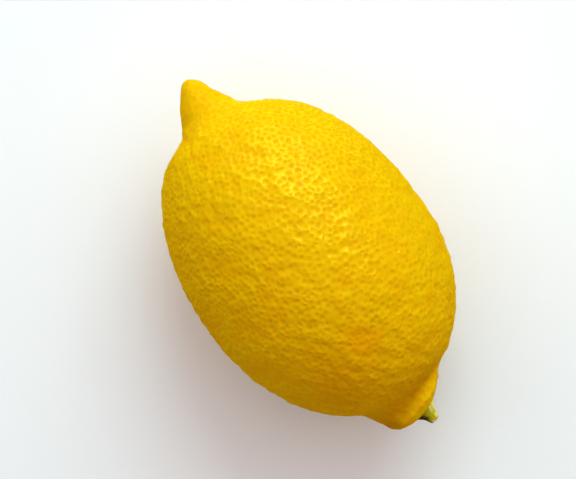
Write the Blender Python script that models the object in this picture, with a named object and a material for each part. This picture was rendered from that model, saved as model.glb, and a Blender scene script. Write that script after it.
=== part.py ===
"""A whole lemon lying on its side, with the green button that joined it to the tree.

The long axis lies along X: the nipple points to -X and the stem end to +X. The fruit rests on a small
flat spot at z = 0, and the origin is under the middle of its length. Every surface is a sphere
primitive whose points are moved by a formula, so each solid is one closed skin.
"""

import math
import random

import bmesh
import bpy
import numpy as np

# Driving dimensions in metres. Angles round the fruit start at +Y and turn towards +Z.
# A value named FADE or GROWTH is a stretch of the long axis, given as its two ends.
AXIS_HEIGHT = 0.02905  # long axis above the resting surface
BODY_RADIUS = 0.0294
WIDEST_X = 0.0044
NIPPLE_SIDE = 0.0451  # from the widest ring to where the body alone would close
STEM_SIDE = 0.0369
NIPPLE_SIDE_POWER = 2.30  # 2 is an ellipse, and more is blunter
STEM_SIDE_POWER = 2.09
BEND = 0.0003  # how far the stem half of the axis swings to +Y
BEND_GROWTH = (0.004, 0.018)
BEND_FADE = (0.026, 0.038)

NIPPLE_TIP_X = -0.0496
NIPPLE_TIP_RADIUS = 0.00196  # roundness of the very tip
NIPPLE_FLARE = 1840.0  # widening towards its foot, per square metre
NIPPLE_ROOT_RADIUS = 0.011  # as wide as it gets inside the body
NIPPLE_FADE = (-0.034, -0.022)
NIPPLE_LEAN = 0.0007  # sideways lean of the tip
LEAN_FADE = (-0.048, -0.0438)
NIPPLE_OFFSET = 0.0007  # sideways offset of the whole nipple
OFFSET_FADE = (-0.041, -0.035)
FOOT_CREASE = 0.0002  # width of the rounding where the nipple meets the body, at the sides
FOOT_BLEND = 0.0033  # and how much wider it is above and below
FOOT_SPREAD = 0.1  # how sharply that changes round the fruit
FOOT_GROWTH = (NIPPLE_TIP_X, -0.042)
FOOT_FADE = (-0.036, -0.024)
SHOULDER_FORWARD = 0.0002  # how much further the body reaches beside the nipple, on the -Y side
SHOULDER_BACK = 0.0015  # and how much less far on the +Y side
SHOULDER_FADE = (-0.039, -0.026)
FURROW_X = -0.0383
FURROW_DEPTH = 0.0020  # fold between the -Y shoulder and the nipple
FURROW_WIDTH = 0.0012
FURROW_POWER = 2.4  # how closely it keeps to the -Y side
BROW_FORWARD = 0.0014  # how much further the body reaches above the neck
BROW_GROWTH = (0.020, 0.034)

NECK_X = 0.0388
NECK_RADIUS = 0.01144
NECK_TAPER = 0.77
NECK_OFFSET = 0.0003  # towards the -Y side
NECK_GROWTH = (0.015, 0.030)
NECK_CREASE = 0.0004  # width of the rounding where the neck meets the body, at the sides
NECK_BLEND = 0.0006  # and how much wider it is above and below
CREASE_GROWTH = (0.020, 0.033)
NECK_RIBS = 5
NECK_RIB_HEIGHT = 0.00028
NECK_RIB_TURN = 0.9  # phase of the ribs, in radians
RIB_GROWTH = (0.036, 0.042)
GROOVE_X = 0.0403  # between the body and the neck's collar
GROOVE_DEPTH = 0.00205
GROOVE_WIDTH = 0.0017
COLLAR_X = 0.0440
COLLAR_HEIGHT = 0.00105
COLLAR_WIDTH = 0.00127
COLLAR_TURN = 1.33  # angle round the fruit at which groove and collar are deepest and highest
RING_SLANT = 0.0006  # both lie this much further out on the -Y side
LIP_X = 0.0428  # where the neck starts to round over
LIP_POWER = 1.13  # 2 rounds over as an ellipse, and less is more slanting
CREST_X = 0.04525  # furthest ring of the lip
CREST_RADIUS = 0.00484
SEAT_DEPTH = 0.0014  # recess that holds the button
SEAT_RADIUS = 0.0043
END_TILT_Y = -0.263  # slope of the neck's end face: further out on the -Y side
END_TILT_Z = 0.223  # and further out on the upper side
TILT_GROWTH = (0.0377, 0.0441)

SWELL_COUNT = 9
SWELL_HEIGHT = 0.00008  # of the gentle waves in the skin
SWELL_SPREAD = (0.5, 1.2)  # range of their heights, as shares of that one
SWELLS_ROUND = (2, 7)  # fewest and most waves in one turn of the fruit
SWELL_SLANT = 140.0  # greatest phase change along the axis, in radians a metre
SWELL_RADII = (0.004, 0.016)  # the waves die away where the skin comes in to the axis
SWELL_SEED = 123

RINGS = 74
RING_STEP = 0.0031  # spacing of the rings where the outline is straight
RING_TURN = 0.22  # and how far it turns between rings, in radians
SEGMENTS = 72
SKIN_SAMPLES = 400  # points that the outline is measured with: along the skin,
ARC_SAMPLES = 40  # round each arc of the lip,
FLOOR_SAMPLES = 31  # and across the seat
FLAT_SPOT = 0.032  # side of the block that trims the flat spot
GAP = 0.0003  # clearance between the button and its seat

BUTTON_RADIUS = 0.0034
BUTTON_LOBES = 5
LOBE_DEPTH = 0.12  # as a share of the button's radius
RIM_HEIGHT = 0.0013  # of the button's thick rim
STALK_HEIGHT = 0.0057  # from the button's underside to the cut
STALK_RADIUS = 0.0015
STALK_LEAN = -0.0003
LEAN_HEIGHT = 0.002  # where on the button the lean starts
BUTTON_RINGS = 22
BUTTON_SEGMENTS = 40


def grow(value, stretch):
    """0 before a stretch, 1 past it, and a smooth step along it."""
    start, end = stretch
    step = np.clip((value - start) / (end - start), 0, 1)
    return step * step * (3 - 2 * step)


def fade(value, stretch):
    """1 before a stretch and 0 past it."""
    return 1 - grow(value, stretch)


def hump(value, middle, width):
    """1 at the middle, dying away smoothly on both sides."""
    return np.exp(-(((value - middle) / width) ** 2))


def smooth_max(first, second, width):
    """The larger of two radii, with the corner between them rounded over width."""
    return 0.5 * (first + second + np.sqrt((first - second) ** 2 + width**2))


def swell_waves():
    """Gentle waves in the skin, as (turns round, turns along, phase, height)."""
    draw = random.Random(SWELL_SEED)
    return [
        (
            draw.randint(*SWELLS_ROUND),
            draw.uniform(-SWELL_SLANT, SWELL_SLANT),
            draw.uniform(0, 2 * math.pi),
            SWELL_HEIGHT * draw.uniform(*SWELL_SPREAD),
        )
        for _ in range(SWELL_COUNT)
    ]


WAVES = swell_waves()


def body_radius(x):
    """A blunt oval: half of it closes towards the nipple and half towards the stem."""
    nipple_side = np.clip((WIDEST_X - x) / NIPPLE_SIDE, 0, 1) ** NIPPLE_SIDE_POWER
    stem_side = np.clip((x - WIDEST_X) / STEM_SIDE, 0, 1) ** STEM_SIDE_POWER
    return BODY_RADIUS * np.sqrt(np.clip(1 - nipple_side - stem_side, 0, 1))


def nipple_radius(x):
    """A paraboloid from the tip, flared towards its foot."""
    depth = np.clip(x - NIPPLE_TIP_X, 0, None)
    radius = np.sqrt(2 * NIPPLE_TIP_RADIUS * depth) * (1 + NIPPLE_FLARE * depth**2)
    return np.minimum(radius, NIPPLE_ROOT_RADIUS) * fade(x, NIPPLE_FADE)


def neck_radius(x, angle):
    """A cone that carries shallow ribs, set a little to the -Y side."""
    cone = NECK_RADIUS - NECK_TAPER * (x - NECK_X)
    ribs = NECK_RIB_HEIGHT * np.cos(NECK_RIBS * angle + NECK_RIB_TURN) * grow(x, RIB_GROWTH)
    side = NECK_OFFSET * np.cos(angle)
    return (cone + ribs - side) * grow(x, NECK_GROWTH)


def skin_radius(x, angle):
    """Distance of the skin from the long axis, at a place along it and an angle round it."""
    minus_y = 0.5 - 0.5 * np.cos(angle)
    up_down = np.sin(angle) ** 2
    shoulder = SHOULDER_FORWARD * minus_y**2 - SHOULDER_BACK * (1 - minus_y) ** 2
    brow = BROW_FORWARD * grow(np.sin(angle), (0, 1)) * grow(x, BROW_GROWTH)
    body = body_radius(x + shoulder * fade(x, SHOULDER_FADE) - brow)
    foot = FOOT_CREASE + FOOT_BLEND * up_down / (up_down + FOOT_SPREAD)
    foot = foot * grow(x, FOOT_GROWTH) * fade(x, FOOT_FADE)
    furrow = FURROW_DEPTH * hump(x, FURROW_X, FURROW_WIDTH) * minus_y**FURROW_POWER
    with_nipple = smooth_max(body, nipple_radius(x), foot) - furrow
    crease = (NECK_CREASE + NECK_BLEND * up_down) * grow(x, CREASE_GROWTH)
    place = x + RING_SLANT * np.cos(angle)
    groove = GROOVE_DEPTH * hump(place, GROOVE_X, GROOVE_WIDTH)
    collar = COLLAR_HEIGHT * hump(place, COLLAR_X, COLLAR_WIDTH)
    on_collar = np.cos(angle - COLLAR_TURN) ** 2
    with_neck = smooth_max(body, neck_radius(x, angle), crease) + on_collar * (collar - groove)
    radius = np.where(x < 0, with_nipple, with_neck)
    swell = sum(
        height * np.cos(around * angle + along * x + phase)
        for around, along, phase, height in WAVES
    )
    return radius + swell * grow(radius, SWELL_RADII)


def profile_path():
    """The turned outline from the nipple's tip to the middle of the seat.

    It is given as places along the axis and shares of the skin's radius. Past LIP_X the share falls
    from the neck's last radius to the crest's, and then to nothing at the middle of the seat.
    """
    outer_x = NIPPLE_TIP_X + (LIP_X - NIPPLE_TIP_X) * np.linspace(0, 1, SKIN_SAMPLES) ** 2
    turn = np.linspace(0, math.pi / 2, ARC_SAMPLES)[1:]
    over = np.sin(turn) ** (2 / LIP_POWER)
    inward = np.cos(turn) ** (2 / LIP_POWER)
    wall = CREST_RADIUS - SEAT_RADIUS
    floor = np.linspace(SEAT_RADIUS, 0, FLOOR_SAMPLES)[1:]
    x = np.concatenate(
        [
            outer_x,
            LIP_X + (CREST_X - LIP_X) * over,
            CREST_X - SEAT_DEPTH * (1 - np.cos(turn)),
            np.full(len(floor), CREST_X - SEAT_DEPTH),
        ]
    )
    share = np.concatenate([np.ones(len(outer_x)), inward, np.zeros(len(turn) + len(floor))])
    inner = np.concatenate(
        [
            np.full(len(outer_x) + len(turn), CREST_RADIUS),
            CREST_RADIUS - wall * np.sin(turn),
            floor,
        ]
    )
    return x, share, inner


def outline_radius(x, share, inner, angle):
    """Radius of the outline: the skin's own radius where share is 1, and the inner one where it is 0."""
    return inner + (skin_radius(np.minimum(x, LIP_X), angle) - inner) * share


def ring_places():
    """Rings spread evenly over the length of the outline and over how far it turns."""
    x, share, inner = profile_path()
    radius = outline_radius(x, share, inner, math.pi / 2)
    step_x, step_r = np.diff(x), np.diff(radius)
    heading = np.unwrap(np.arctan2(step_r, step_x))
    turning = np.abs(np.diff(heading, prepend=heading[0]))
    effort = np.hypot(step_x, step_r) / RING_STEP + turning / RING_TURN
    effort = np.concatenate([[0], np.cumsum(effort)])
    places = np.linspace(0, effort[-1], RINGS + 1)
    return [np.interp(places, effort, values) for values in (x, share, inner)]


def skin_points(x, share, inner, angle):
    """Points of the skin in space, for arrays of places along the outline and angles round it."""
    radius = outline_radius(x, share, inner, angle)
    y = radius * np.cos(angle)
    z = radius * np.sin(angle)
    tilt = grow(x, TILT_GROWTH)
    sideways = (
        NIPPLE_OFFSET * fade(x, OFFSET_FADE)
        + NIPPLE_LEAN * fade(x, LEAN_FADE)
        + BEND * grow(x, BEND_GROWTH) * fade(x, BEND_FADE)
    )
    return x + tilt * (END_TILT_Y * y + END_TILT_Z * z), y + sideways, z + AXIS_HEIGHT


def sphere_rings(name, segments, rings):
    """A new mesh made from a sphere primitive, with each point's ring number and angle."""
    sphere = bmesh.new()
    bmesh.ops.create_uvsphere(sphere, u_segments=segments, v_segments=rings, radius=1)
    mesh = bpy.data.meshes.new(name)
    sphere.to_mesh(mesh)
    sphere.free()
    points = np.empty(len(mesh.vertices) * 3)
    mesh.vertices.foreach_get("co", points)
    points = points.reshape(-1, 3)
    ring = np.rint(np.arccos(np.clip(-points[:, 2], -1, 1)) * rings / math.pi).astype(int)
    angle = np.arctan2(points[:, 1], points[:, 0])
    return mesh, ring, angle


def place_points(mesh, x, y, z):
    """Moves the points of a mesh, turns its faces outwards and shades it smooth."""
    mesh.vertices.foreach_set("co", np.stack([x, y, z], axis=1).ravel())
    shape = bmesh.new()
    shape.from_mesh(mesh)
    bmesh.ops.recalc_face_normals(shape, faces=shape.faces)
    shape.to_mesh(mesh)
    shape.free()
    mesh.shade_smooth()


def make_ground(cutters):
    """The block below z = 0 that trims the flat spot."""
    block = bmesh.new()
    bmesh.ops.create_cube(block, size=FLAT_SPOT)
    mesh = bpy.data.meshes.new("ground")
    block.to_mesh(mesh)
    block.free()
    ground = bpy.data.objects.new("ground", mesh)
    ground.location = (WIDEST_X, 0, -FLAT_SPOT / 2)
    ground.hide_render = True
    ground.display_type = "WIRE"
    cutters.objects.link(ground)
    return ground


def make_fruit(collection, cutters):
    """The peel from nipple to neck, trimmed flat where it rests."""
    mesh, ring, angle = sphere_rings("fruit", SEGMENTS, RINGS)
    x, share, inner = ring_places()
    place_points(mesh, *skin_points(x[ring], share[ring], inner[ring], angle))
    fruit = bpy.data.objects.new("fruit", mesh)
    collection.objects.link(fruit)
    flat = fruit.modifiers.new("flat spot", "BOOLEAN")
    flat.operation = "DIFFERENCE"
    flat.solver = "EXACT"
    flat.object = make_ground(cutters)
    return fruit


def button_outline():
    """The button's turned outline from the middle of its underside, as heights and radii."""
    points = [
        (0, 0),
        (0, 0.76 * BUTTON_RADIUS),
        (0.0002, 0.95 * BUTTON_RADIUS),
        (0.0006, BUTTON_RADIUS),
        (RIM_HEIGHT, BUTTON_RADIUS),
        (RIM_HEIGHT + 0.0005, 0.95 * BUTTON_RADIUS),
        (RIM_HEIGHT + 0.0010, 0.84 * BUTTON_RADIUS),
        (RIM_HEIGHT + 0.0015, 0.73 * BUTTON_RADIUS),
        (RIM_HEIGHT + 0.0020, 1.36 * STALK_RADIUS),
        (RIM_HEIGHT + 0.0025, 1.17 * STALK_RADIUS),
        (RIM_HEIGHT + 0.0032, STALK_RADIUS),
        (STALK_HEIGHT - 0.0005, 0.86 * STALK_RADIUS),
        (STALK_HEIGHT - 0.0001, 0.75 * STALK_RADIUS),
        (STALK_HEIGHT, 0.62 * STALK_RADIUS),
        (STALK_HEIGHT, 0),
    ]
    height, radius = np.array(points).T
    length = np.concatenate([[0], np.cumsum(np.hypot(np.diff(height), np.diff(radius)))])
    places = np.linspace(0, length[-1], BUTTON_RINGS + 1)
    return np.interp(places, length, height), np.interp(places, length, radius)


def make_button(collection):
    """The five-lobed green button with its cut stalk, seated in the end of the neck."""
    mesh, ring, angle = sphere_rings("stem_button", BUTTON_SEGMENTS, BUTTON_RINGS)
    height, radius = button_outline()
    height, radius = height[ring], radius[ring]
    lobed = LOBE_DEPTH * grow(radius, (0.7 * BUTTON_RADIUS, BUTTON_RADIUS))
    radius = radius * (1 + lobed * np.cos(BUTTON_LOBES * angle))
    out = np.array([1, -END_TILT_Y, -END_TILT_Z])
    out /= np.linalg.norm(out)
    across = np.cross([0, 0, 1], out)
    across /= np.linalg.norm(across)
    up = np.cross(out, across)
    lean = STALK_LEAN * grow(height, (LEAN_HEIGHT, STALK_HEIGHT))
    seat = np.array([CREST_X - SEAT_DEPTH, 0, AXIS_HEIGHT])
    points = (
        seat
        + np.outer(height + GAP, out)
        + np.outer(radius * np.cos(angle) + lean, across)
        + np.outer(radius * np.sin(angle), up)
    )
    place_points(mesh, *points.T)
    button = bpy.data.objects.new("stem_button", mesh)
    collection.objects.link(button)
    return button


def paint(piece, name, colour, roughness):
    """Gives a piece its own plain material."""
    material = bpy.data.materials.new(name)
    material.use_nodes = True
    surface = material.node_tree.nodes["Principled BSDF"]
    surface.inputs["Base Color"].default_value = (*colour, 1)
    surface.inputs["Roughness"].default_value = roughness
    surface.inputs["Metallic"].default_value = 0
    material.diffuse_color = (*colour, 1)
    piece.data.materials.append(material)


def main():
    for old in list(bpy.data.objects):
        bpy.data.objects.remove(old)
    scene_collection = bpy.context.scene.collection
    lemon = bpy.data.collections.new("lemon")
    cutters = bpy.data.collections.new("cutters")
    scene_collection.children.link(lemon)
    scene_collection.children.link(cutters)
    paint(make_fruit(lemon, cutters), "yellow peel", (0.80, 0.50, 0.01), 0.38)
    paint(make_button(lemon), "green button", (0.38, 0.36, 0.06), 0.6)


main()
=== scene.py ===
import math
import random

import bpy
import numpy as np
from mathutils import Matrix, Vector


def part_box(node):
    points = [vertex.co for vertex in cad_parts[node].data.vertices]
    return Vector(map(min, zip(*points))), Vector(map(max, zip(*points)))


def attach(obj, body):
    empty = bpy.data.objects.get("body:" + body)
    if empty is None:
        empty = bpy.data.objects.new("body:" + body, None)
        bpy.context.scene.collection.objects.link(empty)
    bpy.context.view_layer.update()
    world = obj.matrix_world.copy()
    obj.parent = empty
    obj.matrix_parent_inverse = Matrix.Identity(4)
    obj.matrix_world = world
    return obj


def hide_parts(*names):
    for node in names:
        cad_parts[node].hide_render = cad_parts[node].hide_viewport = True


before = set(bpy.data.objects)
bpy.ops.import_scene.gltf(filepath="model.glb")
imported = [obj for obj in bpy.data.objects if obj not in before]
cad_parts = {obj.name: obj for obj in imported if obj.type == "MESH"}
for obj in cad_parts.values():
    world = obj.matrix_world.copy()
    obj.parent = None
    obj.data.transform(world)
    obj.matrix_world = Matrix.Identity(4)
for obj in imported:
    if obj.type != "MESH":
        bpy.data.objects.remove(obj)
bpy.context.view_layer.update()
fruitLow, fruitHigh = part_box("fruit")
fullTurn = 2 * math.pi
print("frame loaded:", sorted(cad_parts))


# Numbers and meshes that every piece uses

def grow(value, stretch):
    # 0 before the stretch, 1 past it, and a smooth step 3s^2 - 2s^3 along it
    step = np.clip((value - stretch[0]) / (stretch[1] - stretch[0]), 0, 1)
    return step * step * (3 - 2 * step)


def fade(value, stretch):
    return 1 - grow(value, stretch)


def hump(value, middle, width):
    # a smooth rise and fall, exp(-(distance from the middle / width)^2)
    return np.exp(-(((value - middle) / width) ** 2))


def smoothMax(first, second, width):
    # the larger of two radii: half of their sum and of sqrt(difference^2 + width^2)
    return 0.5 * (first + second + np.sqrt((first - second) ** 2 + width**2))


def joinRings(counts, angles, starts):
    # Rings of unlike numbers of points are zipped by angle: going round, each next point of either
    # ring makes a triangle with the point before it on its own ring and the last one on the other.
    strips = []
    for ring in range(len(counts) - 1):
        lower, upper = counts[ring], counts[ring + 1]
        order = np.argsort(np.concatenate([angles[ring], angles[ring + 1]]), kind="stable")
        onUpper = order >= lower
        lowerSeen = np.cumsum(~onUpper)
        upperSeen = np.cumsum(onUpper)
        lowerPoint = starts[ring] + (lowerSeen - 1) % lower
        upperPoint = starts[ring + 1] + (upperSeen - 1) % upper
        before = np.where(
            onUpper,
            starts[ring + 1] + (upperSeen - 2) % upper,
            starts[ring] + (lowerSeen - 2) % lower,
        )
        strips.append(np.stack([before, lowerPoint, upperPoint], axis=1))
    triangles = np.concatenate(strips)
    whole = (
        (triangles[:, 0] != triangles[:, 1])
        & (triangles[:, 1] != triangles[:, 2])
        & (triangles[:, 0] != triangles[:, 2])
    )
    return triangles[whole]


def makeMesh(name, points, triangles):
    mesh = bpy.data.meshes.new(name)
    mesh.vertices.add(len(points))
    mesh.vertices.foreach_set("co", points.astype(np.float32).ravel())
    mesh.loops.add(triangles.size)
    mesh.loops.foreach_set("vertex_index", triangles.astype(np.int32).ravel())
    mesh.polygons.add(len(triangles))
    mesh.polygons.foreach_set("loop_start", np.arange(0, triangles.size, 3, dtype=np.int32))
    mesh.update(calc_edges=True)
    mesh.validate()
    mesh.shade_smooth()
    return mesh


def movePoints(mesh, points):
    mesh.vertices.foreach_set("co", points.astype(np.float32).ravel())
    mesh.update()


def pointNormals(mesh):
    normals = np.empty(len(mesh.vertices) * 3, np.float32)
    mesh.vertex_normals.foreach_get("vector", normals)
    return normals.reshape(-1, 3)


def giveAttribute(mesh, name, domain, values):
    kind = "FLOAT_VECTOR" if values.ndim == 2 else "FLOAT"
    made = mesh.attributes.new(name, kind, domain)
    made.data.foreach_set("vector" if values.ndim == 2 else "value", values.astype(np.float32).ravel())


def addPiece(name, mesh, material, node):
    piece = bpy.data.objects.new(name, mesh)
    bpy.context.scene.collection.objects.link(piece)
    mesh.materials.append(material)
    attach(piece, "root")
    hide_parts(node)
    print(name, "has", len(mesh.polygons), "faces")
    return piece


# A socket of a material. Plain arithmetic on it adds Math nodes, and node() adds any other kind.

class Wire:
    def __init__(self, tree, socket=None):
        self.tree = tree
        self.socket = socket

    def node(self, kind, settings=None, values=None, output=0):
        made = self.tree.nodes.new(kind)
        for name, value in (settings or {}).items():
            setattr(made, name, value)
        for name, value in (values or {}).items():
            if isinstance(value, Wire):
                self.tree.links.new(value.socket, made.inputs[name])
            else:
                made.inputs[name].default_value = value
        return Wire(self.tree, made.outputs[output])

    def math(self, operation, first, second=0.0):
        return self.node("ShaderNodeMath", {"operation": operation}, {0: first, 1: second})

    def __add__(self, other):
        return self.math("ADD", self, other)

    def __radd__(self, other):
        return self.math("ADD", other, self)

    def __sub__(self, other):
        return self.math("SUBTRACT", self, other)

    def __rsub__(self, other):
        return self.math("SUBTRACT", other, self)

    def __mul__(self, other):
        return self.math("MULTIPLY", self, other)

    def __rmul__(self, other):
        return self.math("MULTIPLY", other, self)

    def __truediv__(self, other):
        return self.math("DIVIDE", self, other)

    def larger(self, other):
        return self.math("MAXIMUM", self, other)

    def smaller(self, other):
        return self.math("MINIMUM", self, other)

    def part(self, low, high):
        # 0 at low, 1 at high, and a smooth step between
        return self.node(
            "ShaderNodeMapRange",
            {"interpolation_type": "SMOOTHSTEP"},
            {"Value": self, "From Min": low, "From Max": high},
        )

    def blend(self, first, second):
        # the first colour where this value is 0 and the second where it is 1
        settings = {"data_type": "RGBA", "blend_type": "MIX"}
        return self.node("ShaderNodeMix", settings, {0: self, 6: first, 7: second}, output=2)

    def tint(self, colour):
        # this colour times another one
        settings = {"data_type": "RGBA", "blend_type": "MULTIPLY"}
        return self.node("ShaderNodeMix", settings, {0: 1.0, 6: self, 7: colour}, output=2)

    def distance(self, other):
        settings = {"operation": "DISTANCE"}
        return self.node("ShaderNodeVectorMath", settings, {0: self, 1: other}, output="Value")

    def attribute(self, name, output):
        return self.node("ShaderNodeAttribute", {"attribute_name": name}, output=output)

    def parts(self):
        split = self.node("ShaderNodeSeparateXYZ", None, {0: self})
        outputs = split.socket.node.outputs
        return [Wire(self.tree, outputs[axis]) for axis in range(3)]

    def noise(self, scale, detail, roughness):
        values = {"Vector": self, "Scale": scale, "Detail": detail, "Roughness": roughness}
        return self.node("ShaderNodeTexNoise", None, values, output="Fac")


def startMaterial(name):
    material = bpy.data.materials.new(name)
    material.use_nodes = True
    tree = material.node_tree
    surface = tree.nodes["Principled BSDF"]
    start = Wire(tree)
    place = start.node("ShaderNodeTexCoord", output="Object")
    return material, surface, start, place


def feed(surface, **wires):
    for name, wire in wires.items():
        wire.tree.links.new(wire.socket, surface.inputs[name.replace("_", " ")])


# The fruit's form. Lengths are in metres, and angles start at +Y and turn towards +Z. A pair of
# places is a stretch of the long axis over which a form grows or fades.

peel = dict(
    axisHeight=0.02905,
    bodyRadius=0.0294, widestX=0.0044,
    nippleSide=0.0451, nippleSidePower=2.30,  # reach and bluntness of each half of the body
    stemSide=0.0369, stemSidePower=2.09,
    bend=0.0003, bendGrowth=(0.004, 0.018), bendFade=(0.026, 0.038),
    tipX=-0.0496, tipRadius=0.00196, nippleFlare=1840.0,
    nippleRoot=0.011, nippleFade=(-0.034, -0.022),
    nippleLean=0.0007, leanFade=(-0.048, -0.0438),
    nippleOffset=0.0007, offsetFade=(-0.041, -0.035),
    footCrease=0.0002, footBlend=0.0033, footSpread=0.1, footGrowth=(-0.0496, -0.042),
    footFade=(-0.036, -0.024),
    shoulderForward=0.0002, shoulderBack=0.0015, shoulderFade=(-0.039, -0.026),
    furrowX=-0.0383, furrowDepth=0.0020, furrowWidth=0.0012, furrowPower=2.4,
    browForward=0.0014, browGrowth=(0.020, 0.034),  # the body reaches further out above the neck
    neckX=0.0388, neckRadius=0.01144, neckTaper=0.77, neckOffset=0.0003, neckGrowth=(0.015, 0.030),
    neckCrease=0.0004, neckBlend=0.0006, creaseGrowth=(0.020, 0.033),
    neckRibs=5, ribHeight=0.00028, ribTurn=0.9, ribGrowth=(0.036, 0.042),
    grooveX=0.0403, grooveDepth=0.00205, grooveWidth=0.0017,  # between the body and the collar
    collarX=0.0440, collarHeight=0.00105, collarWidth=0.00127,
    collarTurn=1.33, ringSlant=0.0006,  # they are highest at this angle, and lie further out at -Y
    lipX=0.0428, lipPower=1.13, crestX=0.04525, crestRadius=0.00484,
    seatDepth=0.0014, seatRadius=0.0043,
    endTiltY=-0.263, endTiltZ=0.223, tiltGrowth=(0.0377, 0.0441),
    swellCount=9, swellHeight=0.00008, swellSpread=(0.5, 1.2), swellsRound=(2, 7),
    swellSlant=140.0, swellRadii=(0.004, 0.016), swellSeed=123,
    inset=0.00006, insetRadii=(0.016, 0.027),  # the widest part starts inside the solid, under its lumps
    sideSteps=2000, crestSteps=120, seatSteps=61,  # points of the outline that everything is read from
    pointGap=0.000425, endPointGap=0.00032,  # between points of the mesh, on the body and at its ends
    endZones=((-0.044, -0.038), (0.036, 0.040)), fewestRound=6,
)

# What varies the skin: lumps and smaller knobs are gentle, and pits are the oil glands.
texture = dict(
    seed=7,
    lumpCount=60, lumpLengths=(0.0045, 0.013), lumpHeight=0.00007,
    knobCount=90, knobLengths=(0.0020, 0.0042), knobHeight=0.000085,
    calmRadii=(0.003, 0.014), calmShare=0.3,  # lumps are lower where the fruit is slim
    streaks=38, streakWander=2.5, streakHeight=0.00004,  # they fan out from the nipple's foot
    streakGrowth=(-0.043, -0.039), streakFade=(-0.035, -0.028),
    collarLumps=(7, 17, 26), collarLumpHeight=0.00010, collarLumpX=0.0432, collarLumpWidth=0.0016,
    collarLow=0.5,  # how much of the lumps is left where the collar is low
    # painted shade: the valley over the neck, where the peel's colour is darkened as if in shade
    foldX=0.0406, foldWidths=(0.0027, 0.0016), foldSlant=0.0018,
    foldTurn=1.9, foldGrowth=(-0.2, 0.6), foldMiddle=0.75, foldSide=0.35,
    pitGap=0.00165, pitJitter=0.34, pitRound=0.25, fewestPitsRound=3,
    pitDepth=0.00012, pitDepthSpread=(0.55, 1.25),
    pitNippleGrowth=(-0.042, -0.032), pitNippleShare=0.32,
    pitNeckFade=(0.033, 0.040), pitNeckShare=0.75,
    pitSideGrowth=(0.6, 0.95), pitSideShare=0.6,  # they are deeper on the side that faces -Y
    # waves that bend the rows of pits: how many round the fruit, their length along it, and a shift
    rowBend=0.0003,
    rowWaves=((9, 0.013, 0.3), (-13, 0.017, 1.9), (17, 0.011, 4.0), (-21, 0.021, 2.2)),
)


def swellWaves():
    draw = random.Random(peel["swellSeed"])
    return [
        (
            draw.randint(*peel["swellsRound"]),
            draw.uniform(-peel["swellSlant"], peel["swellSlant"]),
            draw.uniform(0, fullTurn),
            peel["swellHeight"] * draw.uniform(*peel["swellSpread"]),
        )
        for _ in range(peel["swellCount"])
    ]


waves = swellWaves()


def bodyRadius(x):
    # radius * sqrt(1 - (distance past the widest ring / reach)^power), one reach for each side
    nippleSide = np.clip((peel["widestX"] - x) / peel["nippleSide"], 0, 1) ** peel["nippleSidePower"]
    stemSide = np.clip((x - peel["widestX"]) / peel["stemSide"], 0, 1) ** peel["stemSidePower"]
    return peel["bodyRadius"] * np.sqrt(np.clip(1 - nippleSide - stemSide, 0, 1))


def nippleRadius(x):
    # sqrt(2 * tip radius * depth) * (1 + flare * depth^2), a flared paraboloid
    depth = np.clip(x - peel["tipX"], 0, None)
    radius = np.sqrt(2 * peel["tipRadius"] * depth) * (1 + peel["nippleFlare"] * depth**2)
    return np.minimum(radius, peel["nippleRoot"]) * fade(x, peel["nippleFade"])


def neckRadius(x, angle):
    # a cone, plus ribs as cos(count * angle), less a sideways offset
    cone = peel["neckRadius"] - peel["neckTaper"] * (x - peel["neckX"])
    ribs = peel["ribHeight"] * np.cos(peel["neckRibs"] * angle + peel["ribTurn"])
    side = peel["neckOffset"] * np.cos(angle)
    return (cone + ribs * grow(x, peel["ribGrowth"]) - side) * grow(x, peel["neckGrowth"])


def skinRadius(x, angle):
    # the larger of body and nipple, or of body and neck, with the corner rounded; less a furrow
    # beside the nipple and a groove over the neck; plus a collar past the groove, and the waves
    minusY = 0.5 - 0.5 * np.cos(angle)
    upDown = np.sin(angle) ** 2
    reach = peel["shoulderForward"] * minusY**2 - peel["shoulderBack"] * (1 - minusY) ** 2
    brow = peel["browForward"] * grow(np.sin(angle), (0, 1)) * grow(x, peel["browGrowth"])
    body = bodyRadius(x + reach * fade(x, peel["shoulderFade"]) - brow)
    foot = peel["footCrease"] + peel["footBlend"] * upDown / (upDown + peel["footSpread"])
    foot = foot * grow(x, peel["footGrowth"]) * fade(x, peel["footFade"])
    furrow = hump(x, peel["furrowX"], peel["furrowWidth"]) * minusY ** peel["furrowPower"]
    withNipple = smoothMax(body, nippleRadius(x), foot) - peel["furrowDepth"] * furrow
    crease = (peel["neckCrease"] + peel["neckBlend"] * upDown) * grow(x, peel["creaseGrowth"])
    place = x + peel["ringSlant"] * np.cos(angle)
    groove = peel["grooveDepth"] * hump(place, peel["grooveX"], peel["grooveWidth"])
    collar = peel["collarHeight"] * hump(place, peel["collarX"], peel["collarWidth"])
    onCollar = np.cos(angle - peel["collarTurn"]) ** 2
    withNeck = smoothMax(body, neckRadius(x, angle), crease) + onCollar * (collar - groove)
    radius = np.where(x < 0, withNipple, withNeck)
    swell = sum(height * np.cos(turns * angle + along * x + phase) for turns, along, phase, height in waves)
    return radius + swell * grow(radius, peel["swellRadii"])


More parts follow.
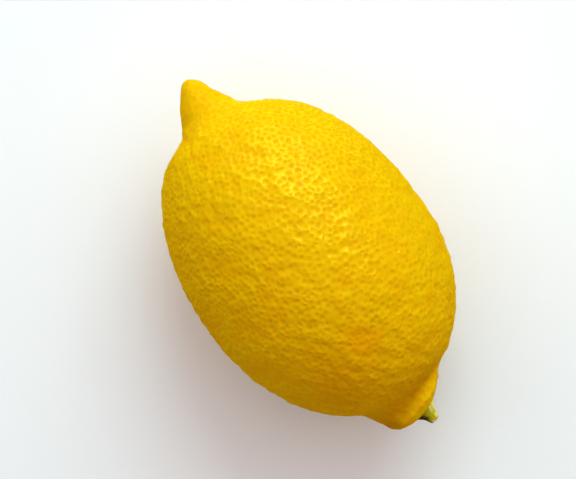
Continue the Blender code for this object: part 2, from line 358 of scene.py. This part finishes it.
def profilePath():
    # The outline from the nipple's tip to the middle of the seat: places along the axis, the share
    # of the skin's radius there, and the inner radius that takes over where that share falls to 0.
    outerX = peel["tipX"] + (peel["lipX"] - peel["tipX"]) * np.linspace(0, 1, peel["sideSteps"]) ** 2
    turn = np.linspace(0, math.pi / 2, peel["crestSteps"])[1:]
    over = np.sin(turn) ** (2 / peel["lipPower"])
    inward = np.cos(turn) ** (2 / peel["lipPower"])
    wall = peel["crestRadius"] - peel["seatRadius"]
    seat = np.linspace(peel["seatRadius"], 0, peel["seatSteps"])[1:]
    x = np.concatenate([
        outerX,
        peel["lipX"] + (peel["crestX"] - peel["lipX"]) * over,
        peel["crestX"] - peel["seatDepth"] * (1 - np.cos(turn)),
        np.full(len(seat), peel["crestX"] - peel["seatDepth"]),
    ])
    share = np.concatenate([np.ones(len(outerX)), inward, np.zeros(len(turn) + len(seat))])
    inner = np.concatenate([
        np.full(len(outerX) + len(turn), peel["crestRadius"]),
        peel["crestRadius"] - wall * np.sin(turn),
        seat,
    ])
    return x, share, inner


def outlineRadius(x, share, inner, angle):
    return inner + (skinRadius(np.minimum(x, peel["lipX"]), angle) - inner) * share


def skinPoints(x, share, inner, angle):
    # radius * (cos, sin) round the axis; the neck's end leans, and the axis bends a little
    radius = outlineRadius(x, share, inner, angle)
    y = radius * np.cos(angle)
    z = radius * np.sin(angle)
    sideways = (
        peel["nippleOffset"] * fade(x, peel["offsetFade"])
        + peel["nippleLean"] * fade(x, peel["leanFade"])
        + peel["bend"] * grow(x, peel["bendGrowth"]) * fade(x, peel["bendFade"])
    )
    outward = grow(x, peel["tiltGrowth"]) * (peel["endTiltY"] * y + peel["endTiltZ"] * z)
    return np.stack([x + outward, y + sideways, z + peel["axisHeight"]], axis=1)


# Length along the outline, measured on its upper side, and everything else as a function of it.
pathX, pathShare, pathInner = profilePath()
pathRadius = outlineRadius(pathX, pathShare, pathInner, math.pi / 2)
pathLength = np.concatenate([[0], np.cumsum(np.hypot(np.diff(pathX), np.diff(pathRadius)))])


def atLength(along):
    return [np.interp(along, pathLength, values) for values in (pathX, pathShare, pathInner)]


def skinRings():
    # Rows of points a gap apart, each ring with as many as fit round it at that gap, set half a
    # step on from the last, so that the triangles are close to equilateral.
    gap = peel["endPointGap"] + (peel["pointGap"] - peel["endPointGap"]) * (
        grow(pathX, peel["endZones"][0]) * fade(pathX, peel["endZones"][1])
    )
    effort = np.diff(pathLength) / (0.5 * math.sqrt(3) * gap[1:])
    effort = np.concatenate([[0], np.cumsum(effort)])
    rows = int(round(effort[-1]))
    along = np.interp(np.linspace(0, effort[-1], rows + 1), effort, pathLength)
    rowGap = np.interp(along, pathLength, gap)
    rowRadius = np.interp(along, pathLength, pathRadius)
    counts = np.maximum(np.round(fullTurn * rowRadius / rowGap).astype(int), peel["fewestRound"])
    counts[[0, -1]] = 1
    shift = 0.25 + 0.5 * (np.arange(rows + 1) % 2)
    angles = [(np.arange(count) + turn) * fullTurn / count for count, turn in zip(counts, shift)]
    starts = np.concatenate([[0], np.cumsum(counts)])[:-1]
    return along, counts, angles, starts


def waveSum(points, seed, count, lengths):
    # a sum of plane waves in random directions, each as high as its wavelength is long, scaled so
    # that its spread is 1
    draw = np.random.default_rng(seed)
    total = np.zeros(len(points))
    for _ in range(count):
        direction = draw.normal(size=3)
        length = draw.uniform(*lengths)
        direction *= fullTurn / length / np.linalg.norm(direction)
        total += length * np.cos(points @ direction + draw.uniform(0, fullTurn))
    return total / total.std()


def streaks(x, angle, wander):
    # a cosine round the axis, its phase shifted by the lumps, over a short stretch of the skin
    wave = np.cos(texture["streaks"] * angle + texture["streakWander"] * wander)
    return wave * grow(x, texture["streakGrowth"]) * fade(x, texture["streakFade"])


def collarLumps(x, angle, wander):
    # a sum of cosines with unlike counts round the axis, shifted by the lumps, on the collar alone
    shift = texture["streakWander"] * wander
    total = sum(np.cos(count * angle + count + shift) for count in texture["collarLumps"])
    high = np.cos(angle - peel["collarTurn"]) ** 2
    total = total * (texture["collarLow"] + (1 - texture["collarLow"]) * high)
    return total * hump(x, texture["collarLumpX"], texture["collarLumpWidth"])


def valleyShade(x, angle):
    # painted shade for the valley over the neck: a hump along the fruit, wider on the body's side,
    # that grows in round one side of the neck and is deeper towards -Y
    place = x + texture["foldSlant"] * np.cos(angle)
    width = np.where(place < texture["foldX"], *texture["foldWidths"])
    around = grow(np.cos(angle - texture["foldTurn"]), texture["foldGrowth"])
    return hump(place, texture["foldX"], width) * around * (
        texture["foldMiddle"] - texture["foldSide"] * np.cos(angle)
    )


def rowBend(along, angle):
    # a sum of cosines round and along the fruit
    total = sum(
        np.cos(turns * angle + fullTurn * along / length + shift)
        for turns, length, shift in texture["rowWaves"]
    )
    return texture["rowBend"] * total


def pitSeeds():
    # Pits in rows a gap apart, each row with as many as fit round it, and every one moved a little.
    # Length along the fruit plus the bend is even from row to row.
    draw = np.random.default_rng(texture["seed"] + 1)
    gap = texture["pitGap"]
    rowGap = 0.5 * math.sqrt(3) * gap
    skinLength = pathLength[peel["sideSteps"] - 1]
    rows = int(skinLength / rowGap)
    along = (np.arange(rows) + 0.5) * rowGap
    radius = np.interp(along, pathLength, pathRadius)
    counts = np.maximum(np.round(fullTurn * radius / gap).astype(int), texture["fewestPitsRound"])
    starts = np.concatenate([[0], np.cumsum(counts)])[:-1]
    turns = draw.uniform(0, 1, rows)
    row = np.repeat(np.arange(rows), counts)
    column = np.arange(len(row)) - starts[row]
    jitter = draw.uniform(-texture["pitJitter"], texture["pitJitter"], (2, len(row)))
    seedAngle = (column + turns[row] + jitter[1]) * fullTurn / counts[row]
    seedAlong = along[row] + jitter[0] * rowGap - rowBend(along[row], seedAngle)
    seedAlong = np.clip(seedAlong, 0, skinLength)
    x, share, inner = atLength(seedAlong)
    seeds = dict(
        rowGap=rowGap, counts=counts, starts=starts, turns=turns,
        points=skinPoints(x, share, inner, seedAngle),
    )
    nipple = texture["pitNippleShare"] + (1 - texture["pitNippleShare"]) * grow(x, texture["pitNippleGrowth"])
    neck = texture["pitNeckShare"] + (1 - texture["pitNeckShare"]) * fade(x, texture["pitNeckFade"])
    side = 1 + texture["pitSideShare"] * grow(-np.cos(seedAngle), texture["pitSideGrowth"])
    seeds["strengths"] = draw.uniform(*texture["pitDepthSpread"], len(row)) * nipple * neck * side
    return seeds


def nearestPits(seeds, along, angle, points):
    # The three nearest pits of each point, out of the three next to it in each of four rows
    bent = along + rowBend(along, angle)
    first = np.floor(bent / seeds["rowGap"] - 0.5).astype(int)[:, None] + np.arange(-1, 3)
    row = np.clip(first, 0, len(seeds["counts"]) - 1)[:, :, None]
    count = seeds["counts"][row]
    middle = np.round(angle[:, None, None] * count / fullTurn - seeds["turns"][row]).astype(int)
    found = seeds["starts"][row] + (middle + np.arange(-1, 2)) % count
    found = found.reshape(len(points), -1)
    distance = np.linalg.norm(seeds["points"][found] - points[:, None, :], axis=2)
    order = np.argsort(found, axis=1)
    found = np.take_along_axis(found, order, axis=1)
    distance = np.take_along_axis(distance, order, axis=1)
    # a short row can offer a pit twice, and its second mention is put a metre away
    distance[:, 1:][found[:, 1:] == found[:, :-1]] = 1.0
    order = np.argsort(distance, axis=1)[:, :3]
    return np.take_along_axis(found, order, axis=1), np.take_along_axis(distance, order, axis=1)


def pitBowl(near, second, third):
    # (1 - share^2)^2, a soft dimple. The share is 0 at a pit's middle and close to 1 half-way to the
    # next pit, and 1 where three pits are equally far.
    share = 2 * near / (near + second + texture["pitRound"] * (third - second))
    return (1 - share**2) ** 2


def makePeel():
    along, counts, angles, starts = skinRings()
    row = np.repeat(np.arange(len(counts)), counts)
    pointAlong = along[row]
    angle = np.concatenate(angles)
    x, share, inner = atLength(pointAlong)
    points = skinPoints(x, share, inner, angle)
    mesh = makeMesh("peel", points, joinRings(counts, angles, starts))
    normals = pointNormals(mesh)
    seeds = pitSeeds()
    found, distance = nearestPits(seeds, pointAlong, angle, points)
    pit = pitBowl(*distance.T) * seeds["strengths"][found[:, 0]]
    lump = waveSum(points, texture["seed"], texture["lumpCount"], texture["lumpLengths"])
    knob = waveSum(points, texture["seed"] + 2, texture["knobCount"], texture["knobLengths"])
    radius = outlineRadius(x, share, inner, angle)
    calm = texture["calmShare"] + (1 - texture["calmShare"]) * grow(radius, texture["calmRadii"])
    height = (
        calm * (texture["lumpHeight"] * lump + texture["knobHeight"] * knob)
        + texture["streakHeight"] * streaks(x, angle, lump)
        + texture["collarLumpHeight"] * collarLumps(x, angle, knob)
        - texture["pitDepth"] * pit
    )
    # the share is 0 in the seat, where the skin has neither lumps nor pits
    inset = peel["inset"] * grow(radius, peel["insetRadii"])
    points = points + normals * (height * share - inset)[:, None]
    points = np.clip(points, fruitLow, fruitHigh)
    movePoints(mesh, points)

    # Each face keeps its three nearest pits, so that the material can draw them sharply.
    corners = np.empty(len(mesh.polygons) * 3, np.int32)
    mesh.loops.foreach_get("vertex_index", corners)
    corners = corners.reshape(-1, 3)
    sweep = np.exp(1j * angle[corners])
    faceAngle = np.angle(sweep.mean(axis=1)) % fullTurn
    centres = points[corners].mean(axis=1)
    found, _ = nearestPits(seeds, pointAlong[corners].mean(axis=1), faceAngle, centres)
    for name, column in (("pitOne", 0), ("pitTwo", 1), ("pitThree", 2)):
        giveAttribute(mesh, name, "FACE", seeds["points"][found[:, column]])
    giveAttribute(mesh, "pitStrengths", "FACE", seeds["strengths"][found])
    giveAttribute(mesh, "lump", "POINT", lump)
    # painted shade of the valley over the neck, for the material
    giveAttribute(mesh, "foldShade", "POINT", valleyShade(x, angle))
    return mesh


# The peel's finish. A noise is its scale, detail and roughness. A mark is a place along the fruit,
# an angle round it, how far the mark reaches, and its colour.

peelFinish = dict(
    ripe=(0.83, 0.495, 0.001), orange=(0.80, 0.40, 0.001), green=(0.66, 0.47, 0.001),
    orangeShare=0.45, troughs=(0.6, -1.6), blotchNoise=(85.0, 3.0, 0.55), blotches=(0.42, 0.72),
    greenShare=0.06, greenGrowth=(0.024, 0.038), greenNoise=(110.0, 2.0, 0.5), greenPatches=(0.4, 0.6),
    # painted shade: the valley over the neck is darkened towards this tone
    foldShadeTone=(0.60, 0.29, 0.001), foldShadeShare=0.95,
    markNoise=(420.0, 3.0, 0.6), markRagged=1.6, markLeast=0.2, markCore=0.2, markShare=0.6,
    bowlTone=(0.96, 0.865, 1.0), bowlEdge=(0.5, 0.97),
    bowlStrength=3.0,  # pits weaker than a third have fainter bowls
    pitTone=(0.78, 0.33, 0.001), pitShare=0.34, pitDot=0.65,
    rounding=1.0001,  # two distances count as one within it
    roughness=0.5, pitBump=0.00012, grainNoise=(1900.0, 2.0, 0.6), grainBump=0.000006,
    subsurface=0.18, subsurfaceRadius=(0.0030, 0.0012, 0.0002),
    glossTone=(0.82, 0.92, 0.10), glossRoughness=0.20, gloss=0.066,  # the waxy sheen of the ridges
    glossNoise=(420.0, 2.0, 0.5), glossPatches=(0.35, 0.6), glossLow=0.35,
    glossFade=(0.034, 0.040), neckLoss=0.6, glossTip=(-0.036, -0.044), tipLoss=0.65,
)
marks = (
    (0.0290, 120, 0.0140, (0.74, 0.365, 0.001)),  # painted shade, broad and soft, over the neck's shaded side
    (-0.0120, 22, 0.0160, (0.76, 0.42, 0.001)),
    (-0.0010, 170, 0.0120, (0.79, 0.41, 0.001)),
    (0.0231, 95, 0.0060, (0.92, 0.42, 0.001)),  # the orange patch
    (-0.0018, 108, 0.0030, (0.82, 0.41, 0.001)),  # four troughs in a row
    (0.0019, 117, 0.0032, (0.82, 0.41, 0.001)),
    (0.0069, 117, 0.0030, (0.82, 0.41, 0.001)),
    (0.0065, 132, 0.0032, (0.82, 0.41, 0.001)),
    (-0.0413, 132, 0.0018, (0.74, 0.33, 0.001)),  # a darker, more orange spot at the nipple's foot, painted shade of a dent
    (-0.0450, 80, 0.0080, (0.77, 0.42, 0.001)),
    (0.0442, 74, 0.0040, (0.90, 0.58, 0.001)),  # the collar
    (-0.0131, 72, 0.0006, (0.62, 0.30, 0.03)),  # a speck in the bright part
    (0.0320, 123, 0.0070, (0.74, 0.40, 0.001)),
    (0.0386, 35, 0.0018, (0.60, 0.36, 0.02)),  # two small scars
    (-0.0081, 172, 0.0022, (0.58, 0.32, 0.008)),
)


def skinPlace(x, degrees):
    # the point of the skin at one place along the axis and one angle round it
    place, one = np.array([x]), np.ones(1)
    return skinPoints(place, one, one, np.radians([degrees]))[0]


def addGloss(material, surface, share, bump):
    # a mirror-like layer in a pale yellow, mixed over the peel's own surface by a small share; the
    # mixed shader takes the peel's place at the material's output
    tree = material.node_tree
    layer = tree.nodes.new("ShaderNodeBsdfPrincipled")
    layer.inputs["Base Color"].default_value = (*peelFinish["glossTone"], 1)
    layer.inputs["Metallic"].default_value = 1.0
    layer.inputs["Roughness"].default_value = peelFinish["glossRoughness"]
    feed(layer, Normal=bump)
    under, over = Wire(tree, surface.outputs[0]), Wire(tree, layer.outputs[0])
    mixed = share.node("ShaderNodeMixShader", None, {0: share, 1: under, 2: over})
    tree.links.new(mixed.socket, tree.nodes["Material Output"].inputs["Surface"])


def peelMaterial():
    material, surface, start, place = startMaterial("lemon peel")
    # out of the three pits, the nearest one's distance and strength, and the next one's distance
    away = [place.distance(start.attribute(name, "Vector")) for name in ("pitOne", "pitTwo", "pitThree")]
    strengths = start.attribute("pitStrengths", "Vector").parts()
    near = away[0].smaller(away[1]).smaller(away[2])
    far = away[0].larger(away[1]).larger(away[2])
    limit = near * peelFinish["rounding"]
    strength = sum(start.math("LESS_THAN", gap, limit) * own for gap, own in zip(away, strengths))
    # the same share as in pitBowl, out of the nearest, the farthest and the sum of all three
    rest = away[0] + away[1] + away[2] - far * (1 - texture["pitRound"])
    share = 2 * near / (rest - (rest - near - far * texture["pitRound"]) * texture["pitRound"])
    bowl = 1 - share * share
    pit = bowl * bowl * strength
    hollow = (1 - share.part(*peelFinish["bowlEdge"])) * (strength * peelFinish["bowlStrength"]).smaller(1.0)
    dot = (1 - share.part(0.0, peelFinish["pitDot"])) * strength
    along = place.parts()[0]
    trough = start.attribute("lump", "Fac").part(*peelFinish["troughs"])
    blotch = place.noise(*peelFinish["blotchNoise"]).part(*peelFinish["blotches"])
    stemEnd = place.noise(*peelFinish["greenNoise"]).part(*peelFinish["greenPatches"])
    stemEnd = along.part(*peelFinish["greenGrowth"]) * stemEnd
    colour = (trough.larger(blotch) * peelFinish["orangeShare"]).blend(
        (*peelFinish["ripe"], 1), (*peelFinish["orange"], 1)
    )
    colour = (stemEnd * peelFinish["greenShare"]).blend(colour, (*peelFinish["green"], 1))
    # painted shade over the neck's valley, mixed into the colour
    foldShade = start.attribute("foldShade", "Fac")
    colour = (foldShade * peelFinish["foldShadeShare"]).blend(colour, (*peelFinish["foldShadeTone"], 1))
    ragged = place.noise(*peelFinish["markNoise"]) * peelFinish["markRagged"] + peelFinish["markLeast"]
    for x, degrees, reach, tone in marks:
        gap = place.distance(tuple(skinPlace(x, degrees))) * ragged
        cover = gap.part(reach, peelFinish["markCore"] * reach) * peelFinish["markShare"]
        colour = cover.blend(colour, (*tone, 1))
    colour = hollow.blend(colour, colour.tint((*peelFinish["bowlTone"], 1)))
    colour = (dot * peelFinish["pitShare"]).blend(colour, (*peelFinish["pitTone"], 1))
    grain = place.noise(*peelFinish["grainNoise"])
    height = grain * peelFinish["grainBump"] - pit * peelFinish["pitBump"]
    bump = start.node("ShaderNodeBump", None, {"Height": height, "Distance": 1.0}, output="Normal")
    feed(surface, Base_Color=colour, Normal=bump)
    surface.inputs["Roughness"].default_value = peelFinish["roughness"]
    surface.inputs["Subsurface Weight"].default_value = peelFinish["subsurface"]
    surface.inputs["Subsurface Radius"].default_value = peelFinish["subsurfaceRadius"]
    surface.inputs["Subsurface Scale"].default_value = 1.0
    surface.inputs["Specular IOR Level"].default_value = 0.0
    # the sheen covers what isn't a bowl, in patches, and is weaker on the neck and on the nipple
    patch = place.noise(*peelFinish["glossNoise"]).part(*peelFinish["glossPatches"])
    patch = peelFinish["glossLow"] + patch * (1 - peelFinish["glossLow"])
    onNeck = peelFinish["neckLoss"] * along.part(*peelFinish["glossFade"])
    onTip = peelFinish["tipLoss"] * along.part(*peelFinish["glossTip"])
    body = 1 - onNeck - onTip
    addGloss(material, surface, (1 - hollow) * patch * body * peelFinish["gloss"], bump)
    return material


print("working out the peel")
addPiece("peel", makePeel(), peelMaterial(), "fruit")


# The green button with its cut stalk: a profile turned round the button's own axis. Its profile is
# given as heights above the seat and radii. A zone is a colour, a stretch across the button over
# which it grows in, from 1 at its +Y side to -1 at the other, a stretch of the share of its height,
# and how much it covers.

button = dict(
    radius=0.0034, lobes=5, lobeDepth=0.12, lobeStart=0.7, gap=0.0003,
    rimHeight=0.0013, height=0.0057, stalkRadius=0.0015, stalkLean=-0.0003, leanHeight=0.002,
    ribs=11, ribHeight=0.00006, ribGrowth=(0.0022, 0.0034), ribStart=0.5, ribSway=1.5, ribSways=3,
    rings=90, segments=160,
    # the dark tone is painted shade: on the side away from the light and at the base down in the seat
    green=(0.51, 0.48, 0.005), shadeTone=(0.05, 0.04, 0.003), darkSide=(-0.15, -0.65), darkTall=(0.85, 0.6),
    rimTall=(0.1, 0.3),
    # the pale straw is partly the stalk's own colour and partly painted light on the side that faces the
    # light
    litStraw=(0.92, 0.85, 0.14), strawSide=(0.0, 0.5), strawTall=(0.72, 0.5), strawRibs=0.35, strawLeast=0.3,
    zones=(
        ((0.98, 0.82, 0.14), (0.3, 0.7), (0.65, 0.8), 0.9),  # a yellow bulge
        ((0.66, 0.36, 0.08), (-0.2, 0.3), (0.90, 0.97), 1.0),  # the tan edge of the cut
        ((0.76, 0.60, 0.30), (0.2, -0.2), (0.84, 0.93), 0.9),  # its pale lower part
        ((0.12, 0.055, 0.003), (-0.65, -0.9), (0.5, 0.75), 1.0),  # a brown lower edge, partly its own brown and partly painted shade on the side away from the light
    ),
    roughness=0.55, specular=0.04, speckNoise=(1500.0, 3.0, 0.6), speckBump=0.00003,
)


def buttonProfile():
    # a thick rim, a slope that hollows in to the stalk, and the stalk's cut end
    radius, stalk = button["radius"], button["stalkRadius"]
    rim, height = button["rimHeight"], button["height"]
    points = [
        (0, 0), (0, 0.76 * radius), (0.0002, 0.95 * radius), (0.0006, radius), (rim, radius),
        (rim + 0.0005, 0.95 * radius), (rim + 0.0010, 0.84 * radius), (rim + 0.0015, 0.73 * radius),
        (rim + 0.0020, 1.36 * stalk), (rim + 0.0025, 1.17 * stalk), (rim + 0.0032, stalk),
        (height - 0.0005, 0.86 * stalk), (height - 0.0001, 0.75 * stalk), (height, 0.62 * stalk), (height, 0),
    ]
    height, radius = np.array(points).T
    length = np.concatenate([[0], np.cumsum(np.hypot(np.diff(height), np.diff(radius)))])
    places = np.linspace(0, length[-1], button["rings"] + 1)
    return np.interp(places, length, height), np.interp(places, length, radius)


def makeButton():
    # radius * (cos, sin) across the button's axis, which is square to the neck's leaning end; the
    # stalk leans sideways
    height, radius = buttonProfile()
    counts = np.full(len(height), button["segments"])
    counts[[0, -1]] = 1
    angles = [np.arange(count) * fullTurn / count for count in counts]
    starts = np.concatenate([[0], np.cumsum(counts)])[:-1]
    row = np.repeat(np.arange(len(counts)), counts)
    angle = np.concatenate(angles)
    height, radius = height[row], radius[row]
    lobed = button["lobeDepth"] * grow(radius, (button["lobeStart"] * button["radius"], button["radius"]))
    rib = np.cos(button["ribs"] * angle + button["ribSway"] * np.cos(button["ribSways"] * angle))
    stalk = button["stalkRadius"]
    onStalk = grow(height, button["ribGrowth"]) * grow(radius, (button["ribStart"] * stalk, stalk))
    radius = radius * (1 + lobed * np.cos(button["lobes"] * angle)) + button["ribHeight"] * rib * onStalk
    out = np.array([1, -peel["endTiltY"], -peel["endTiltZ"]])
    out /= np.linalg.norm(out)
    across = np.cross([0, 0, 1], out)
    across /= np.linalg.norm(across)
    up = np.cross(out, across)
    lean = button["stalkLean"] * grow(height, (button["leanHeight"], button["height"]))
    seat = np.array([peel["crestX"] - peel["seatDepth"], 0, peel["axisHeight"]])
    points = (
        seat + np.outer(height + button["gap"], out)
        + np.outer(radius * np.cos(angle) + lean, across) + np.outer(radius * np.sin(angle), up)
    )
    mesh = makeMesh("button", points, joinRings(counts, angles, starts))
    giveAttribute(mesh, "tall", "POINT", height / button["height"])
    giveAttribute(mesh, "rib", "POINT", rib)
    giveAttribute(mesh, "side", "POINT", np.cos(angle))
    return mesh


def buttonMaterial():
    material, surface, start, place = startMaterial("green button")
    tall = start.attribute("tall", "Fac")
    rib = start.attribute("rib", "Fac")
    side = start.attribute("side", "Fac")
    speck = place.noise(*button["speckNoise"])
    # painted shade on the side away from the light, and a painted shadow at the base in the seat
    shaded = side.part(*button["darkSide"]) * tall.part(*button["darkTall"])
    lit = (1 - shaded) * tall.part(*button["rimTall"])
    colour = lit.blend((*button["shadeTone"], 1), (*button["green"], 1))
    # partly the stalk's own pale colour, partly painted light on the side towards the light
    uneven = rib * button["strawRibs"] + speck + button["strawLeast"]
    litStraw = side.part(*button["strawSide"]) * tall.part(*button["strawTall"]) * uneven
    colour = litStraw.smaller(1.0).blend(colour, (*button["litStraw"], 1))
    for tone, across, upward, share in button["zones"]:
        colour = (side.part(*across) * tall.part(*upward) * share).blend(colour, (*tone, 1))
    height = speck * button["speckBump"]
    bump = start.node("ShaderNodeBump", None, {"Height": height, "Distance": 1.0}, output="Normal")
    feed(surface, Base_Color=colour, Normal=bump)
    surface.inputs["Roughness"].default_value = button["roughness"]
    surface.inputs["Specular IOR Level"].default_value = button["specular"]
    return material


print("working out the button")
addPiece("button", makeButton(), buttonMaterial(), "stem_button")


# Floor, lamps and camera. A lamp's side is its angle from the top of the picture towards its right,
# its lift is its height above the floor in degrees, wide and high are half of the angles that it
# fills as the fruit sees it, its slant turns it about its own axis, and its glow is its brightness.
# One that isn't mirrored gives no sheen, and one that isn't lit gives nothing else.

studio = dict(
    turn=53.39,  # degrees from the picture's right to the fruit's long axis
    lens=200.0, sensor=36.0, frameWidth=0.1356, middle=(-0.0052, -0.0014),
    floorSize=6.0, floorTone=(0.95, 0.91, 0.92), floorRoughness=0.9, world=0.02, backdrop=0.8,
    farFloor=(0.66, 0.65, 0.64), farGrowth=(0.5, 1.8),  # its own pale glow, where the lamps don't reach
    # an ellipse just over the floor, which only the sheen sees, in place of the pale floor there
    paper=dict(away=0.14, wide=0.22, deep=0.19, height=0.001, glow=2.8, colour=(1, 1, 0.2)),
    lamps=dict(
        key=dict(
            side=13, lift=43, wide=20, high=20, slant=0, distance=0.75, glow=4.2, colour=(0.64, 1, 1),
            mirrored=False,
        ),
        gloss=dict(
            side=5, lift=38, wide=32, high=14, slant=-19, distance=0.75, glow=5.0, colour=(1, 1, 1),
            lit=False,
        ),
        low=dict(
            side=0, lift=10, wide=30, high=9, slant=0, distance=0.75, glow=3.5, colour=(1, 1, 1),
            lit=False,
        ),
        window=dict(
            side=-5, lift=55, wide=62, high=62, slant=0, distance=1.1, glow=1.10, colour=(1.03, 1, 1),
            mirrored=False,
        ),
        warmth=dict(
            side=145, lift=42, wide=30, high=30, slant=0, distance=0.8, glow=0.42, colour=(1, 0.22, 0.02),
            mirrored=False, onFloor=False,
        ),
    ),
)


def pictureDirection(side, lift):
    # a unit vector from a side in the picture and a lift above the floor, both in degrees
    side = math.pi / 2 - math.radians(side) + math.radians(studio["turn"])
    lift = math.radians(lift)
    return np.array([math.cos(side) * math.cos(lift), math.sin(side) * math.cos(lift), math.sin(lift)])


def addFloor():
    half = studio["floorSize"] / 2
    corners = [(-half, -half, 0), (half, -half, 0), (half, half, 0), (-half, half, 0)]
    mesh = bpy.data.meshes.new("floor")
    mesh.from_pydata(corners, [], [(0, 1, 2, 3)])
    floor = bpy.data.objects.new("floor", mesh)
    bpy.context.scene.collection.objects.link(floor)
    material, surface, start, place = startMaterial("pale floor")
    far = place.distance((0, 0, 0)).part(*studio["farGrowth"])
    feed(surface, Emission_Color=far.blend((0, 0, 0, 1), (*studio["farFloor"], 1)))
    surface.inputs["Emission Strength"].default_value = 1.0
    surface.inputs["Base Color"].default_value = (*studio["floorTone"], 1)
    surface.inputs["Roughness"].default_value = studio["floorRoughness"]
    surface.inputs["Specular IOR Level"].default_value = 0.0
    mesh.materials.append(material)
    floor.visible_glossy = False  # the peel's sheen shows lamps alone
    return floor


def addLamp(floor, name, side, lift, wide, high, slant, distance, glow, colour,
            mirrored=True, lit=True, onFloor=True):
    # an ellipse that fills the given angles; its power is pi * its area * its brightness
    lamp = bpy.data.lights.new(name, "AREA")
    lamp.shape = "ELLIPSE"
    halfWide = distance * math.tan(math.radians(wide))
    halfHigh = distance * math.tan(math.radians(high))
    lamp.size = 2 * halfWide
    lamp.size_y = 2 * halfHigh
    lamp.energy = math.pi * (math.pi * halfWide * halfHigh) * glow
    lamp.color = colour
    holder = bpy.data.objects.new(name, lamp)
    bpy.context.scene.collection.objects.link(holder)
    direction = pictureDirection(side, lift)
    holder.location = np.array([0, 0, peel["axisHeight"]]) + direction * distance
    facing = Vector(-direction).to_track_quat("-Z", "Y").to_matrix()
    holder.rotation_euler = (facing @ Matrix.Rotation(math.radians(slant), 3, "Z")).to_euler()
    holder.visible_camera = False
    holder.visible_glossy = mirrored
    holder.visible_diffuse = lit
    if not onFloor:
        # the lamp lights everything but this collection
        unlit = bpy.data.collections.new(name + " leaves out")
        unlit.objects.link(floor)
        unlit.collection_objects[0].light_linking.link_state = "EXCLUDE"
        holder.light_linking.receiver_collection = unlit


def addPaper(away, wide, deep, height, glow, colour):
    # it faces up, beyond the fruit's side at the top of the picture
    lamp = bpy.data.lights.new("paper", "AREA")
    lamp.shape = "ELLIPSE"
    lamp.size = wide
    lamp.size_y = deep
    lamp.energy = math.pi * (math.pi * wide * deep / 4) * glow
    lamp.color = colour
    holder = bpy.data.objects.new("paper", lamp)
    bpy.context.scene.collection.objects.link(holder)
    holder.location = (*(pictureDirection(0, 0) * away)[:2], height)
    holder.rotation_euler = (math.pi, 0, math.radians(studio["turn"]))
    holder.visible_camera = False
    holder.visible_diffuse = False


def addWorld():
    world = bpy.data.worlds.new("studio")
    world.use_nodes = True
    bpy.context.scene.world = world
    back = world.node_tree.nodes["Background"]
    back.inputs["Color"].default_value = (1, 1, 1, 1)
    # pale where the camera sees past the floor, and faint as a light
    seen = Wire(world.node_tree).node("ShaderNodeLightPath")
    feed(back, Strength=seen * (studio["backdrop"] - studio["world"]) + studio["world"])


def addCamera():
    # straight above, with the fruit's axis turned in the picture as the photo has it
    camera = bpy.data.cameras.new("camera")
    camera.lens = studio["lens"]
    camera.sensor_width = studio["sensor"]
    holder = bpy.data.objects.new("camera", camera)
    bpy.context.scene.collection.objects.link(holder)
    distance = studio["lens"] / studio["sensor"] * studio["frameWidth"]
    holder.location = (*studio["middle"], peel["axisHeight"] + distance)
    holder.rotation_euler = (0, 0, math.radians(studio["turn"]))
    bpy.context.scene.camera = holder


print("adding floor, lamps and camera")
floor = addFloor()
addWorld()
for name, lamp in studio["lamps"].items():
    addLamp(floor, name, **lamp)
addPaper(**studio["paper"])
addCamera()
bpy.context.scene.view_settings.view_transform = "Standard"
